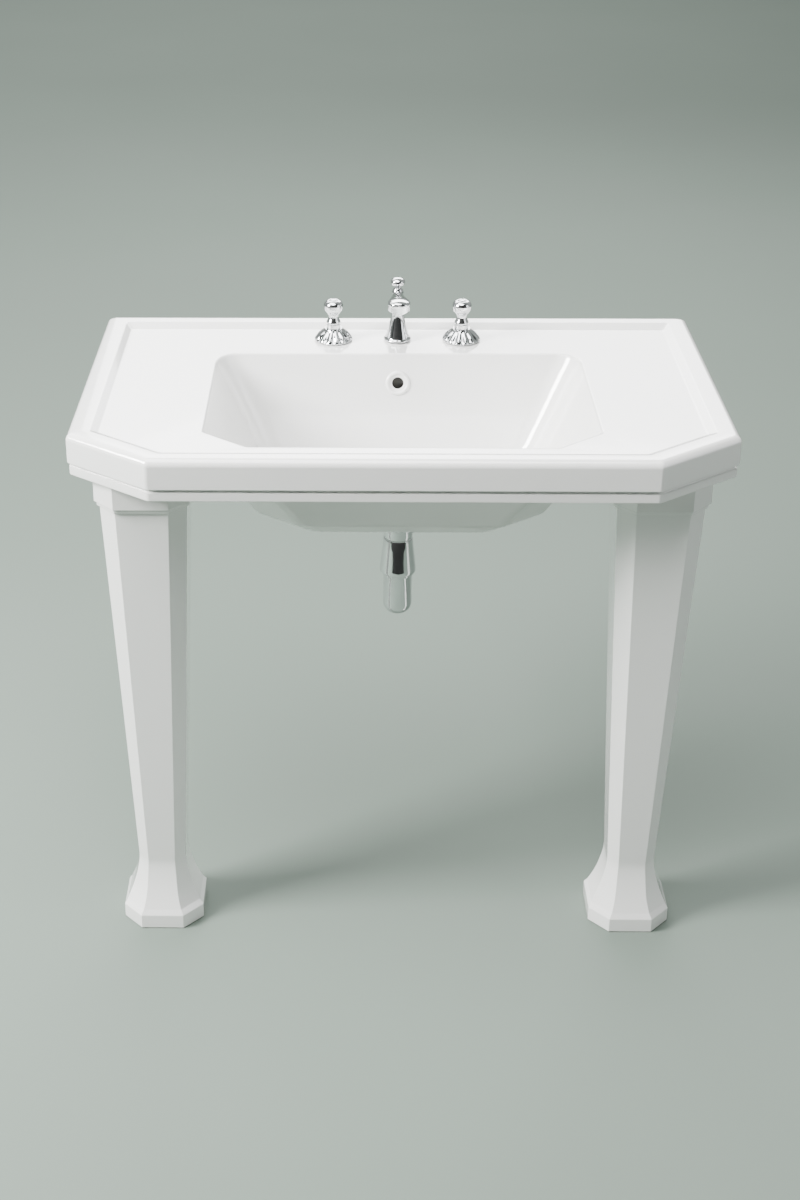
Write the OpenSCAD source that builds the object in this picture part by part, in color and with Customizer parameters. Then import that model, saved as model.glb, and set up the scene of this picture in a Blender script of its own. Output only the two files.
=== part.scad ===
// Console washbasin: a ceramic basin on two octagonal ceramic legs, fixed to the wall,
// with a three-hole deck mixer, a pop-up waste and a bottle trap.
// The origin is on the floor, in the middle of the width and of the full depth.
// +X is the user's right, +Y runs into the wall and +Z is up.

/* [Basin] */
// Overall width of the basin
basin_w = 930; // [880:1:1000]
// Depth from the front edge to the wall
basin_d = 550; // [530:1:580]
// Height of the rim above the floor
rim_z = 832; // [800:1:900]
// Corner cut, along the front edge
corner_x = 120; // [90:1:140]
// Corner cut, along the side edge
corner_y = 86; // [60:1:100]
// Height of the plain fascia
fascia_h = 44; // [38:1:50]
// Height of the shadow groove under the fascia
groove_h = 5; // [3:1:7]
// Height of the lower moulding
moulding_h = 13; // [10:1:18]
// Depth of the sunk deck below the rim
deck_drop = 7; // [4:1:9]
// Wall thickness of the casting
wall_t = 16; // [14:1:18]

/* [Bowl] */
// Half width of the bowl's opening
bowl_hw = 278; // [240:1:285]
// Distance from the basin's front edge to the bowl's opening
bowl_front = 62; // [58:1:70]
// Distance from the basin's front edge to the back of the opening
bowl_back = 410; // [390:1:415]
// Depth of the bowl below the deck, at the drain
bowl_depth = 164; // [155:1:170]
// Distance from the basin's front edge to the drain's axis
drain_d = 246; // [236:1:256]
// Radius of the drain hole
drain_r = 22.5; // [22.2:0.1:23]
// Height of the overflow hole below the rim
overflow_drop = 50; // [45:1:60]

/* [Legs] */
// Distance of each leg's axis from the middle
leg_x = 362; // [350:1:370]
// Distance of each leg's axis from the basin's front edge
leg_d = 126; // [122:0.5:132]
// Half width of the capital
capital_a = 69; // [66:1:72]
// Half width of the shaft at its top
shaft_top_a = 61.5; // [58:0.5:64]
// Half width of the shaft at its foot
shaft_foot_a = 35.5; // [34:0.5:40]
// Half width of the plinth
plinth_a = 61.5; // [56:0.5:64]

/* [Mixer] */
// Distance between the two side valves
tap_centres = 200; // [196:1:204]
// Distance from the basin's front edge to the tap holes
tap_d = 469; // [464:1:474]
// Radius of a tap hole
tap_hole_r = 17.5; // [17:0.1:18]
// Reach of the spout from its column to its outlet
spout_reach = 85; // [75:1:92]
// Height of the spout's outlet above the deck
outlet_h = 80; // [76:1:90]

/* [Hidden] */

$fn = 64;
cut = 1;                    // how far a cutting shape runs past the face it cuts
run = 0.06;                 // radial clearance of a running fit
stud_out = 50;              // length of the wall fixings behind the wall face
front_y = -(basin_d + stud_out) / 2;
wall_y = front_y + basin_d;

// Heights
base_z = rim_z - fascia_h - groove_h - moulding_h;
deck_z = rim_z - deck_drop;
deck_under_z = deck_z - wall_t;
floor_z = deck_z - bowl_depth;
bowl_flat_z = floor_z + 6;
belly_z = floor_z - 20;

// Bowl
bowl_cut = [65, 51];        // front corner cut of the opening
bowl_back_r = 37;
foot_hw = 198;              // half width of the bowl's bottom
foot_front = 166;
foot_back = 354;
back_lean = atan2(bowl_back - foot_back, deck_z - bowl_flat_z - cut);
overflow_z = rim_z - overflow_drop;
overflow_d = bowl_back - (deck_z - overflow_z) * tan(back_lean);
overflow_r = 9;

// Underside
fascia_t = 22;
back_wall_t = 18;
seat_x = 288;               // the solid leg seats start here
seat_d = 212;

// Legs
pad_t = 2;
leg_top_z = base_z - pad_t;
capital_h = 46;
plinth_h = 27;
// Height, half width and corner cut of the flare over the plinth
flare = [[plinth_h, plinth_a - 4, 28], [33, plinth_a - 5, 27.6], [50, 49.5, 24.5],
         [68, 43.5, 20.5], [86, 39, 17], [104, shaft_foot_a + 0.5, 15.2]];
core_r = 24;
core_top_z = leg_top_z - 66;
dowel_r = 10;

// Wall fixings
stud_x = 250;
stud_z = rim_z - 42;
stud_r = 5;                 // the screw thread in the wall
thread_r = 4.8;             // the machine thread in the basin
sleeve_r = 8;
stud_nut_h = 8;

// Mixer
gasket_t = 1.5;
washer_t = 2.5;
back_nut_h = 9;
shank_lead = 5;             // the shank stands this far in front of the tap hole's axis
rod_lag = 13;               // and the lift rod this far behind it
shank_d = tap_d - shank_lead;
shank_r = 8;
rod_d = tap_d + rod_lag;
rod_r = 2.5;
valve_r = 11;
valve_top_z = deck_z + 27;
link_z = deck_z - 43;
tail_z = deck_z - 98;
tail_r = 10.48;
tail_len = 22;
link_r = 6;
nozzle_d = tap_d - spout_reach;
nozzle_r = 17;
outlet_z = deck_z + outlet_h;
arm_fall = 16;              // the arm is this much lower at its back end
knob_z = deck_z + 84;

// Waste and trap
pivot_z = floor_z - 50;
pivot_d = drain_d + 32;
strap_w = 14;
strap_z = pivot_z + 92;     // foot of the strap's clamp block
strap_screw_z = strap_z + 7;
screw_r = 2;
tail_pipe_r = 16;
pipe_t = 1.5;
spigot_r = 15.6;            // the outlet pipe's end, inside the wall
trap_top_z = floor_z - 66;
collar_z = floor_z - 118;
collar_h = 8;
cup_r = 22;
cup_bottom_z = floor_z - 196;
outlet_pipe_z = floor_z - 98;

ceramic = [0.95, 0.95, 0.94];
chrome = [0.78, 0.80, 0.82];
brass = [0.78, 0.62, 0.32];
rubber = [0.12, 0.12, 0.12];
nylon = [0.88, 0.88, 0.85];
steel = [0.66, 0.67, 0.68];

// ---------- shared shapes ----------

// Plan of the basin, drawn in by s on the sides and the cut corners, by s_front on the
// front and by s_back on the wall side.
function basin_plan(s, s_front, s_back) =
    let (hw = basin_w / 2, run_len = norm([corner_x, corner_y]),
         side = hw - s,
         cut_y = corner_y + s * (run_len - corner_y) / corner_x,
         cut_x = hw - (s * run_len + corner_x * (corner_y - s_front)) / corner_y)
    [[-side, basin_d - s_back], [-side, cut_y], [-cut_x, s_front], [cut_x, s_front],
     [side, cut_y], [side, basin_d - s_back]];

// Plan of the bowl: cut front corners and round back corners.
function bowl_plan(hw, y0, y1, cut_x, cut_y, r) = concat(
    [[-hw, y0 + cut_y], [-hw + cut_x, y0], [hw - cut_x, y0], [hw, y0 + cut_y]],
    [for (a = [0:15:90]) [hw - r + r * cos(a), y1 - r + r * sin(a)]],
    [for (a = [90:15:180]) [-hw + r + r * cos(a), y1 - r + r * sin(a)]]);

function octagon(a, c) = [
    [-a, -a + c], [-a + c, -a], [a - c, -a], [a, -a + c],
    [a, a - c], [a - c, a], [-a + c, a], [-a, a - c]];

module from_front() { translate([0, front_y, 0]) children(); }

module slab(points, z0, z1) { translate([0, 0, z0]) linear_extrude(z1 - z0) polygon(points); }

module at(x, d, z) { translate([x, front_y + d, z]) children(); }

// A tube or, with bore 0, a rod, standing on its base.
module ring(r, bore, h) {
    difference() {
        cylinder(r = r, h = h);
        if (bore > 0) translate([0, 0, -cut]) cylinder(r = bore, h = h + 2 * cut);
    }
}

module hex_nut(r, bore, h) {
    difference() {
        cylinder(r = r, h = h, $fn = 6);
        translate([0, 0, -cut]) cylinder(r = bore, h = h + 2 * cut);
    }
}

// Turns a shape that stands on its base so that it points into the wall.
module to_wall() { rotate([-90, 0, 0]) children(); }

// Turns a shape that stands on its base so that it points to +X.
module to_side() { rotate([0, 90, 0]) children(); }

// ---------- ceramic ----------

module underside_hollow() {
    difference() {
        slab(basin_plan(fascia_t, fascia_t, back_wall_t), base_z - cut, deck_under_z);
        for (side = [-1, 1])
            translate([side > 0 ? seat_x : -seat_x - basin_w, 0, base_z - 2 * cut])
                cube([basin_w, seat_d, 2 * fascia_h]);
    }
}

module belly() {
    hull() {
        slab(bowl_plan(bowl_hw + wall_t, bowl_front - wall_t, bowl_back + wall_t, 70, 52, 50),
             deck_under_z, deck_under_z + cut);
        slab(bowl_plan(foot_hw, foot_front - 8, foot_back + 7, 72, 48, 42), belly_z, belly_z + cut);
    }
}

module bowl_hollow() {
    hull() {
        slab(bowl_plan(bowl_hw, bowl_front, bowl_back, bowl_cut[0], bowl_cut[1], bowl_back_r),
             deck_z, rim_z + cut);
        slab(bowl_plan(foot_hw, foot_front, foot_back, 70, 45, 40), bowl_flat_z, bowl_flat_z + cut);
        translate([0, drain_d, floor_z]) cylinder(r = 40, h = cut, $fn = 32);
    }
}

module deck_hollow() {
    hull() {
        slab(basin_plan(43, 40, 38), deck_z, deck_z + 0.1);
        slab(basin_plan(31, 25, 22), rim_z, rim_z + cut);
    }
}

// The overflow's way down behind the bowl and under its floor to the drain.
module overflow_way(wall) {
    half = 18 + wall;
    translate([-half, overflow_d + 18 - wall, belly_z + 4 - min(wall, 4)])
        cube([2 * half, 10 + 2 * wall, overflow_z - belly_z + 10 + wall]);
}

module basin() {
    color(ceramic) from_front() difference() {
        union() {
            difference() {
                union() {
                    slab(basin_plan(0, 0, 0), rim_z - fascia_h, rim_z);
                    slab(basin_plan(6, 6, 0), rim_z - fascia_h - groove_h, rim_z - fascia_h);
                    slab(basin_plan(2.4, 2.4, 0), base_z, base_z + moulding_h);
                }
                underside_hollow();
            }
            belly();
            overflow_way(8);
            translate([-26, foot_back - 40, belly_z]) cube([52, overflow_d + 36 - foot_back + 40, 20]);
        }
        deck_hollow();
        bowl_hollow();
        overflow_way(0);
        translate([-18, drain_d, belly_z + 4]) cube([36, overflow_d + 28 - drain_d, 8]);
        translate([0, overflow_d, overflow_z])
            rotate([90 - back_lean, 0, 0])
                translate([0, 0, -22]) cylinder(r = overflow_r, h = 44);
        translate([0, drain_d, belly_z - cut]) cylinder(r = drain_r, h = 60);
        for (x = [-tap_centres / 2, 0, tap_centres / 2])
            translate([x, tap_d, deck_under_z - cut]) cylinder(r = tap_hole_r, h = 60);
        for (x = [-stud_x, stud_x])
            translate([x, basin_d - back_wall_t - cut, stud_z])
                to_wall() cylinder(r = sleeve_r, h = back_wall_t + 2 * cut);
        for (x = [-leg_x, leg_x])
            translate([x, leg_d, base_z - cut]) cylinder(r = dowel_r + run, h = 18 + cut);
    }
}

// A tapering octagonal length between two rows of height, half width and corner cut.
module tapered(low, high) {
    thin = 0.5;
    hull() {
        slab(octagon(low[1], low[2]), low[0], low[0] + thin);
        slab(octagon(high[1], high[2]), high[0] - thin, high[0]);
    }
}

module leg(side) {
    color(ceramic) at(side * leg_x, leg_d, 0) difference() {
        union() {
            slab(octagon(plinth_a, 28.5), 0, plinth_h);
            for (i = [1:len(flare) - 1]) tapered(flare[i - 1], flare[i]);
            tapered([flare[len(flare) - 1][0] - 1, shaft_foot_a, 15],
                    [leg_top_z - capital_h, shaft_top_a, 24]);
            slab(octagon(shaft_top_a + 4, 27), leg_top_z - capital_h, leg_top_z - capital_h + 6);
            slab(octagon(capital_a, 30), leg_top_z - capital_h + 6, leg_top_z);
        }
        translate([0, 0, -cut]) cylinder(r = core_r, h = core_top_z + cut);
        translate([0, 0, leg_top_z - 18]) cylinder(r = dowel_r + run, h = 18 + cut);
    }
}

module leg_left() { leg(-1); }

module leg_right() { leg(1); }

module leg_pads() {
    color(rubber) for (x = [-leg_x, leg_x])
        at(x, leg_d, leg_top_z) difference() {
            slab(octagon(capital_a - 8, 26), 0, pad_t);
            translate([0, 0, -cut]) cylinder(r = dowel_r + 1, h = pad_t + 2 * cut);
        }
}

module leg_dowels() {
    color(nylon) for (x = [-leg_x, leg_x])
        at(x, leg_d, leg_top_z - 17) cylinder(r = dowel_r, h = 17 + pad_t + 17);
}

// ---------- wall fixings ----------

module wall_studs() {
    color(steel) for (x = [-stud_x, stud_x])
        at(x, basin_d - 60, stud_z) to_wall() {
            cylinder(r = thread_r, h = 62);
            translate([0, 0, 61]) cylinder(r = stud_r, h = stud_out - 1);
        }
}

module wall_sleeves() {
    color(nylon) for (x = [-stud_x, stud_x])
        at(x, basin_d - back_wall_t, stud_z) to_wall() ring(sleeve_r, thread_r, back_wall_t);
}

module wall_washers() {
    color(steel) for (x = [-stud_x, stud_x])
        at(x, basin_d - back_wall_t - washer_t, stud_z) to_wall() ring(15, thread_r, washer_t);
}

module wall_nuts() {
    color(steel) for (x = [-stud_x, stud_x])
        at(x, basin_d - back_wall_t - washer_t - stud_nut_h, stud_z)
            to_wall() hex_nut(9.8, thread_r, stud_nut_h);
}

// ---------- spout ----------

// The bell-shaped foot and the slim column of the spout.
module spout_column() {
    h = outlet_h - 6;
    rotate_extrude() polygon([[0, 0], [21, 0], [21, 2.5], [18.5, 6], [15.5, 14], [12.5, 25],
                              [10, 36], [8.5, 46], [8.5, h], [0, h]]);
}

module spout_body() {
    color(chrome) difference() {
        union() {
            at(0, tap_d, deck_z + gasket_t) spout_column();
            at(0, shank_d, link_z) cylinder(r = shank_r, h = deck_z + 10 - link_z);
            at(0, rod_d - 1, deck_z + gasket_t) cylinder(r = 6, h = outlet_h - 6);
            hull() {
                at(0, nozzle_d, outlet_z + 4) cylinder(r = nozzle_r, h = 14);
                at(0, rod_d - 1, outlet_z - arm_fall) cylinder(r = 7, h = 13);
            }
            at(0, nozzle_d, outlet_z) cylinder(r = nozzle_r - 0.5, h = 10);
        }
        at(0, shank_d, link_z - cut) cylinder(r = 5, h = deck_z + 12 - link_z);
        at(0, tap_d, deck_z + 6) cylinder(r = 4.5, h = outlet_h - 16);
        at(0, nozzle_d, outlet_z + 8) rotate([-90 - atan2(arm_fall, spout_reach), 0, 0])
            cylinder(r = 4.5, h = spout_reach);
        at(0, nozzle_d, outlet_z - 6) cylinder(r = 12, h = 18);
        at(0, rod_d, deck_z - cut) cylinder(r = rod_r + run, h = outlet_h + 60);
    }
}

module spout_gasket() {
    color(rubber) at(0, tap_d, deck_z) difference() {
        cylinder(r = 18.6, h = gasket_t);
        translate([0, -shank_lead, -cut]) cylinder(r = shank_r, h = gasket_t + 2 * cut);
        translate([0, rod_lag, -cut]) cylinder(r = rod_r + 1, h = gasket_t + 2 * cut);
    }
}

module spout_washer() {
    color(brass) at(0, tap_d, deck_under_z - washer_t) difference() {
        cylinder(r = 24, h = washer_t);
        translate([0, -shank_lead, -cut]) cylinder(r = shank_r, h = washer_t + 2 * cut);
        translate([0, rod_lag, -cut]) cylinder(r = rod_r + 1.5, h = washer_t + 2 * cut);
    }
}

module spout_nut() {
    color(brass) at(0, shank_d, deck_under_z - washer_t - back_nut_h)
        hex_nut(13.8, shank_r, back_nut_h);
}

module aerator_housing() {
    color(chrome) at(0, nozzle_d, outlet_z - 3) ring(12, 9.5, 13);
}

module aerator_insert() {
    color(nylon) at(0, nozzle_d, outlet_z - 2) difference() {
        cylinder(r = 9.5, h = 9);
        for (a = [0:60:300])
            rotate([0, 0, a]) translate([5, 0, -cut]) cylinder(r = 1.2, h = 9 + 2 * cut);
        translate([0, 0, -cut]) cylinder(r = 1.2, h = 9 + 2 * cut);
    }
}

module mixing_tee() {
    color(brass) difference() {
        union() {
            at(0, shank_d, link_z - 10) cylinder(r = 12, h = 24);
            at(-24, shank_d, link_z - 1) to_side() cylinder(r = 8.5, h = 48);
        }
        at(0, shank_d, link_z) cylinder(r = shank_r, h = 20);
        at(0, shank_d, link_z - 5) cylinder(r = 5, h = 20);
        at(-25, shank_d, link_z - 1) to_side() cylinder(r = link_r, h = 50);
    }
}

// ---------- pop-up linkage ----------

module lift_knob() {
    color(chrome) at(0, rod_d, knob_z) difference() {
        rotate_extrude() polygon([[0, 0], [5, 0], [9, 2], [11.5, 5.5], [11.5, 8], [9, 12],
                                  [5, 13.7], [0, 14]]);
        translate([0, 0, -cut]) cylinder(r = rod_r, h = 7 + cut);
    }
}

module lift_rod() {
    color(chrome) at(0, rod_d, strap_z) cylinder(r = rod_r, h = knob_z + 7 - strap_z);
}

// A flat strip with a row of holes for the pivot rod, under a block clamped on the lift rod.
module lift_strap() {
    hole_r = 4.4;
    pitch = 14;
    strip_t = 2;
    color(steel) difference() {
        union() {
            at(-strap_w / 2, rod_d - 5, strap_z) cube([strap_w, 11, 14]);
            at(-strap_w / 2, rod_d + 4, pivot_z - 14) cube([strap_w, strip_t, 108]);
        }
        at(0, rod_d, strap_z - cut) cylinder(r = rod_r, h = 20);
        at(0, rod_d, strap_screw_z) to_side() cylinder(r = screw_r, h = 10);
        for (i = [0:5])
            at(0, rod_d + 3, pivot_z + pitch * i) to_wall() cylinder(r = hole_r, h = strip_t + 2 * cut);
    }
}

module strap_screw() {
    color(steel) at(rod_r, rod_d, strap_screw_z) to_side() {
        cylinder(r = screw_r, h = 7);
        translate([0, 0, 4.5]) cylinder(r = 5, h = 5);
    }
}

// ---------- side valves ----------

module skirt(x) {
    flutes = 14;
    color(chrome) at(x, tap_d, deck_z + gasket_t) difference() {
        rotate_extrude() polygon([[valve_r, 0], [29.5, 0], [29.5, 2.5], [27, 6.5], [22.5, 11.5],
                                  [17, 15.5], [14, 18.5], [valve_r, 18.5]]);
        for (i = [0:flutes - 1])
            rotate([0, 0, (i + 0.5) * 360 / flutes]) translate([33.5, 0, 6])
                rotate([0, -47, 0]) translate([0, 0, -16]) cylinder(r = 3.6, h = 42);
    }
}

module valve(x, side) {
    color(brass) difference() {
        union() {
            at(x, tap_d, tail_z + tail_len) cylinder(r = valve_r, h = valve_top_z - tail_z - tail_len);
            at(x, tap_d, tail_z) cylinder(r = tail_r, h = tail_len);
            at(x - side * 24, shank_d, link_z - 1) to_side() translate([0, 0, side > 0 ? 0 : -24])
                cylinder(r = 8.5, h = 24);
        }
        at(x, tap_d, tail_z - cut) cylinder(r = 6, h = deck_z - tail_z);
        at(x, tap_d, deck_z - 8) cylinder(r = 9, h = 60);
        at(x - side * 25, shank_d, link_z - 1) to_side() translate([0, 0, side > 0 ? 0 : -25])
            cylinder(r = link_r, h = 25);
    }
}

module cartridge(x) {
    color(nylon) at(x, tap_d, deck_z - 8) ring_with_seat(9, 4 + run, valve_top_z - deck_z + 8, 8);
}

// A plug with a blind hole down from its top.
module ring_with_seat(r, bore, h, floor_h) {
    difference() {
        cylinder(r = r, h = h);
        translate([0, 0, floor_h]) cylinder(r = bore, h = h);
    }
}

module spindle(x) {
    color(brass) at(x, tap_d, deck_z + 1) difference() {
        cylinder(r = 4, h = 52);
        translate([0, 0, 41]) cylinder(r = 2.2, h = 20);
    }
}

module handle(x) {
    color(chrome) at(x, tap_d, valve_top_z + 0.4) difference() {
        rotate_extrude() polygon([[0, 0], [10.5, 0], [11, 3], [10, 6], [8, 9], [7.5, 12], [9, 16],
                                  [12.5, 21], [14.5, 26], [15, 30], [13.5, 34], [10, 37], [6.5, 38],
                                  [0, 38]]);
        translate([0, 0, -cut]) cylinder(r = 4, h = 26.6 - 0.4 + cut);
        cylinder(r = 2.2, h = 40);
        translate([0, 0, 31]) cylinder(r = 4.5, h = 10);
        translate([0, 0, 36]) cylinder(r = 6, h = 10);
    }
}

module index_button(x, tone) {
    color(tone) at(x, tap_d, valve_top_z + 36.4) rotate_extrude() polygon([[0, 0], [6, 0], [6, 2],
                                                                       [4, 3.1], [0, 3.5]]);
}

module handle_screw(x) {
    color(steel) at(x, tap_d, deck_z + 43) {
        cylinder(r = 2.2, h = 16);
        translate([0, 0, 15.4]) cylinder(r = 4.4, h = 4);
    }
}

module hot_skirt() { skirt(-tap_centres / 2); }
module cold_skirt() { skirt(tap_centres / 2); }
module hot_valve() { valve(-tap_centres / 2, -1); }
module cold_valve() { valve(tap_centres / 2, 1); }
module hot_cartridge() { cartridge(-tap_centres / 2); }
module cold_cartridge() { cartridge(tap_centres / 2); }
module hot_spindle() { spindle(-tap_centres / 2); }
module cold_spindle() { spindle(tap_centres / 2); }
module hot_handle() { handle(-tap_centres / 2); }
module cold_handle() { handle(tap_centres / 2); }
module hot_index() { index_button(-tap_centres / 2, chrome); }
module cold_index() { index_button(tap_centres / 2, chrome); }
module hot_screw() { handle_screw(-tap_centres / 2); }
module cold_screw() { handle_screw(tap_centres / 2); }

module valve_gaskets() {
    color(rubber) for (x = [-tap_centres / 2, tap_centres / 2])
        at(x, tap_d, deck_z) ring(26, valve_r, gasket_t);
}

module valve_washers() {
    color(brass) for (x = [-tap_centres / 2, tap_centres / 2])
        at(x, tap_d, deck_under_z - washer_t) ring(22, valve_r, washer_t);
}

module valve_nuts() {
    color(brass) for (x = [-tap_centres / 2, tap_centres / 2])
        at(x, tap_d, deck_under_z - washer_t - back_nut_h) hex_nut(17, valve_r, back_nut_h);
}

module link_tube(side) {
    color([0.72, 0.45, 0.3]) at(side > 0 ? 18 : -82, shank_d, link_z - 1)
        to_side() ring(link_r, link_r - 1, 64);
}

module hot_link_tube() { link_tube(-1); }

module cold_link_tube() { link_tube(1); }

module link_nuts() {
    color(brass) for (x = [-76, -36, 24, 64])
        at(x, shank_d, link_z - 1) to_side() hex_nut(10.5, link_r, 12);
}

// ---------- waste ----------

module overflow_ring() {
    color(ceramic) at(0, overflow_d, overflow_z) rotate([90 - back_lean, 0, 0])
        rotate_extrude() polygon([[7.5, -12], [overflow_r, -12], [overflow_r, 0], [19, 0], [19, 1],
                                  [16, 3], [11, 3], [7.5, 0.5]]);
}

// Four slots that let the overflow's water into the waste.
module waste_slots() {
    for (a = [0:90:270])
        at(0, drain_d, belly_z + 4) rotate([0, 0, a]) translate([12, -6, 0]) cube([20, 12, 5]);
}

module waste_flange() {
    color(chrome) difference() {
        union() {
            at(0, drain_d, floor_z + 1) cylinder(r = 32, h = 3);
            at(0, drain_d, floor_z - 30) cylinder(r = 20, h = 32);
        }
        at(0, drain_d, floor_z - 31) cylinder(r = 17.5, h = 40);
        at(0, drain_d, floor_z + 2.5) cylinder(r = 25.5, h = 10);
        waste_slots();
    }
}

module waste_seal() { color(rubber) at(0, drain_d, floor_z) ring(31, 22.2, 1); }

module waste_body() {
    port_len = 39;
    color(chrome) difference() {
        union() {
            at(0, drain_d, pivot_z - 12) cylinder(r = 22, h = floor_z - 10 - pivot_z + 12);
            at(0, drain_d, pivot_z) to_wall() cylinder(r = 9.5, h = port_len);
        }
        at(0, drain_d, pivot_z - 8) cylinder(r = 17.5, h = 30);
        at(0, drain_d, floor_z - 30) cylinder(r = 20, h = 40);
        at(0, drain_d, pivot_z - 13) cylinder(r = tail_pipe_r, h = 20);
        at(0, drain_d, pivot_z) to_wall() cylinder(r = 5.5, h = port_len + cut);
        at(0, drain_d + 24, pivot_z) to_wall() cylinder(r = 6.3, h = port_len);
        waste_slots();
    }
}

module waste_gasket() { color(rubber) at(0, drain_d, belly_z - 5) ring(33, 22, 5); }

module waste_nut() { color(chrome) at(0, drain_d, belly_z - 13) hex_nut(32, 22, 8); }

module plug() {
    color(chrome) at(0, drain_d, 0) difference() {
        union() {
            translate([0, 0, floor_z + 9.7]) rotate_extrude() polygon([[0, 0], [24, 0], [24, 1.5],
                                                                      [20, 3.2], [0, 4.5]]);
            translate([0, 0, pivot_z + 12]) cylinder(r = 4, h = floor_z + 10 - pivot_z - 12);
            translate([-6, -1, pivot_z - 7]) cube([12, 2, 22]);
        }
        translate([0, -5, pivot_z]) to_wall() cylinder(r = 3.8, h = 10);
    }
}

module plug_seal() { color(rubber) at(0, drain_d, floor_z + 8.2) ring(23, 4, 1.5); }

module pivot_rod() {
    color(steel) {
        at(0, drain_d - 6, pivot_z) to_wall() cylinder(r = rod_r, h = rod_d + 22 - drain_d);
        at(0, pivot_d, pivot_z) sphere(r = 6);
    }
}

module pivot_nut() {
    color(chrome) at(0, drain_d + 34, pivot_z) to_wall() difference() {
        cylinder(r = 12.5, h = 10);
        translate([0, 0, -cut]) cylinder(r = 9.5, h = 5 + cut);
        cylinder(r = 5.4, h = 20);
    }
}

// ---------- trap ----------

module tail_pipe() {
    color(chrome) at(0, drain_d, cup_bottom_z + 26)
        ring(tail_pipe_r, tail_pipe_r - pipe_t, pivot_z - 8 - cup_bottom_z - 26);
}

module trap_inlet_nut() { color(chrome) at(0, drain_d, trap_top_z) ring(21, tail_pipe_r, 3.6); }

module trap_body() {
    body_h = trap_top_z - collar_z;
    color(chrome) difference() {
        union() {
            at(0, drain_d, collar_z - collar_h) cylinder(r = 27.5, h = collar_h);
            at(0, drain_d, collar_z) cylinder(r1 = 27.5, r2 = 21.5, h = body_h);
            at(0, drain_d, outlet_pipe_z) to_wall() cylinder(r = 19, h = 44);
        }
        at(0, drain_d, collar_z - 2) cylinder(r1 = 22, r2 = 19, h = body_h - 2);
        at(0, drain_d, collar_z - collar_h - cut) cylinder(r = 24.5, h = collar_h - 1.5 + cut);
        at(0, drain_d, collar_z) cylinder(r = tail_pipe_r, h = 60);
        at(0, drain_d + 17, outlet_pipe_z) to_wall() cylinder(r = tail_pipe_r - pipe_t, h = 30);
        at(0, drain_d + 28, outlet_pipe_z) to_wall() cylinder(r = tail_pipe_r, h = 30);
    }
}

module trap_cup() {
    cup_h = collar_z - collar_h - cup_bottom_z;
    color(chrome) at(0, drain_d, cup_bottom_z) rotate_extrude() polygon(concat(
        [[0, 0]],
        [for (a = [-75:15:0]) [cup_r - 14 + 14 * cos(a), 14 + 14 * sin(a)]],
        [[cup_r, cup_h - 4], [24.4, cup_h - 3], [24.4, cup_h + 5], [19.5, cup_h + 5], [19.5, 14],
         [17, 6], [12, 3], [0, 3]]));
}

module trap_cup_seal() {
    color(rubber) at(0, drain_d, collar_z - collar_h + 5) ring(24.4, 19.6, 1.5);
}

module trap_outlet_nut() {
    color(chrome) at(0, drain_d + 38, outlet_pipe_z) to_wall() difference() {
        cylinder(r = 22, h = 14);
        translate([0, 0, -cut]) cylinder(r = 19, h = 6 + cut);
        cylinder(r = tail_pipe_r, h = 20);
    }
}

module outlet_pipe() {
    pipe_d = drain_d + 28;
    shoulder_d = basin_d + 4;
    color(chrome) difference() {
        union() {
            at(0, pipe_d, outlet_pipe_z) to_wall() cylinder(r = tail_pipe_r, h = shoulder_d - pipe_d);
            at(0, shoulder_d, outlet_pipe_z) to_wall() cylinder(r = spigot_r, h = stud_out - 4);
        }
        at(0, pipe_d - cut, outlet_pipe_z) to_wall()
            cylinder(r = tail_pipe_r - pipe_t, h = basin_d + stud_out - pipe_d + 2 * cut);
    }
}

module wall_rosette() {
    color(chrome) at(0, basin_d, outlet_pipe_z) rotate([90, 0, 0]) rotate_extrude()
        polygon([[tail_pipe_r, 0], [33, 0], [33, 1.5], [28, 6], [20, 10], [18, 13],
                 [tail_pipe_r, 13]]);
}

basin();
leg_left();
leg_right();
leg_pads();
leg_dowels();
wall_studs();
wall_sleeves();
wall_washers();
wall_nuts();
spout_body();
spout_gasket();
spout_washer();
spout_nut();
aerator_housing();
aerator_insert();
mixing_tee();
lift_knob();
lift_rod();
lift_strap();
strap_screw();
hot_skirt();
hot_valve();
hot_cartridge();
hot_spindle();
hot_handle();
hot_index();
hot_screw();
cold_skirt();
cold_valve();
cold_cartridge();
cold_spindle();
cold_handle();
cold_index();
cold_screw();
valve_gaskets();
valve_washers();
valve_nuts();
hot_link_tube();
cold_link_tube();
link_nuts();
overflow_ring();
waste_flange();
waste_seal();
waste_body();
waste_gasket();
waste_nut();
plug();
plug_seal();
pivot_rod();
pivot_nut();
tail_pipe();
trap_inlet_nut();
trap_body();
trap_cup();
trap_cup_seal();
trap_outlet_nut();
outlet_pipe();
wall_rosette();
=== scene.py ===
import math
import bmesh
import bpy
from mathutils import Matrix, Vector


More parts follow.
